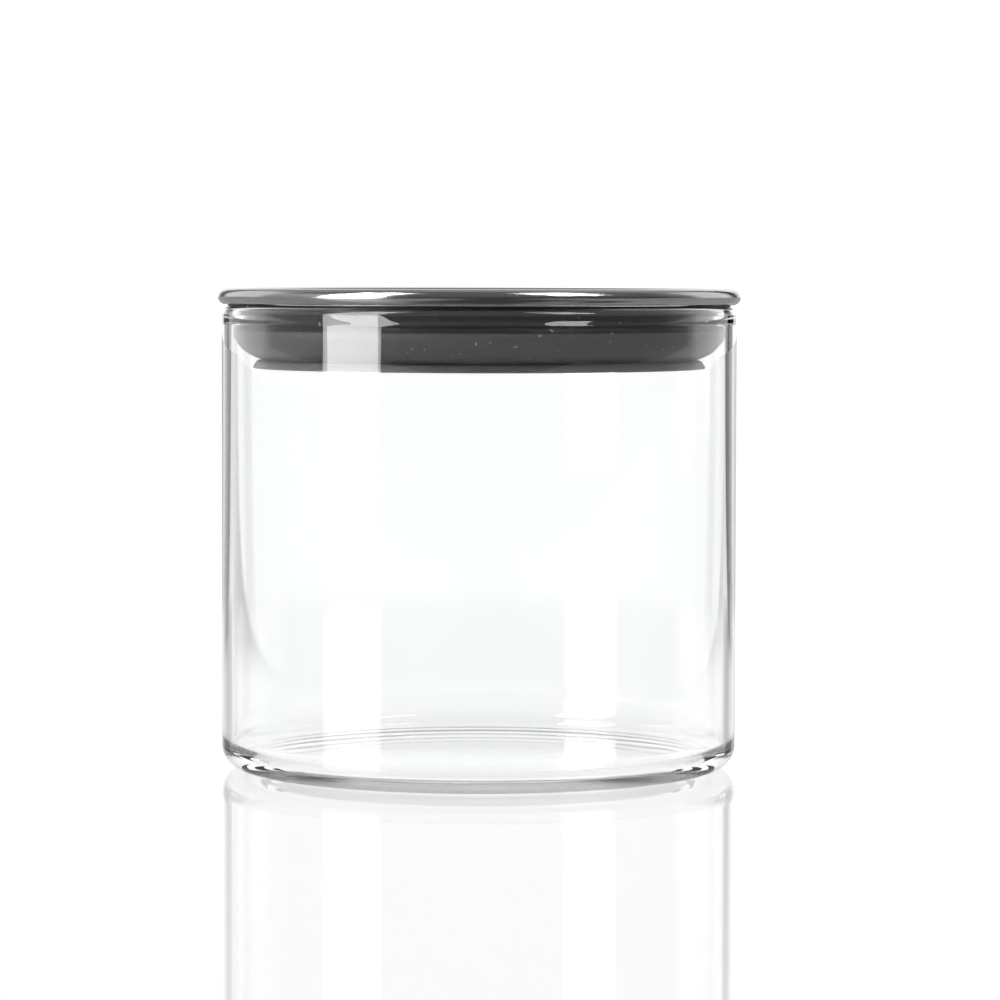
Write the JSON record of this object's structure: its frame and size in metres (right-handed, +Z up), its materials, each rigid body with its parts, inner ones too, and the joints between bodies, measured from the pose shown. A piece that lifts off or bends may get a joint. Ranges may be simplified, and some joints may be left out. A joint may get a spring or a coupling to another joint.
{
  "type": "lidded glass canister",
  "caption": "Round clear glass storage jar with a press-in lid: brushed steel cap with a rolled edge on a dark plug with a soft sealing ring.",
  "frame": {"origin": "centre of the jar's base, on the surface that it stands on", "axes": "+Z up along the jar's axis, through the lid; the jar is round, so +X and +Y are any two level directions at a right angle"},
  "size_m": [0.1016, 0.1016, 0.0932],
  "materials": {
    "clear_glass": "clear, fire-polished",
    "brushed_steel": "brushed",
    "plug_plastic": "fine satin moulding",
    "seal_silicone": "matte silicone"
  },
  "bodies": {
    "jar": {"glass_jar": "clear_glass"},
    "lid": {"steel_cap": "brushed_steel", "plug_body": "plug_plastic", "seal_ring": "seal_silicone"}
  },
  "joints": [
    {"name": "lid_lift", "type": "slide", "parent": "jar", "child": "lid", "axis": [0, 0, 1], "range_m": [0, 0.12], "deforming": ["seal_ring"]}
  ]
}
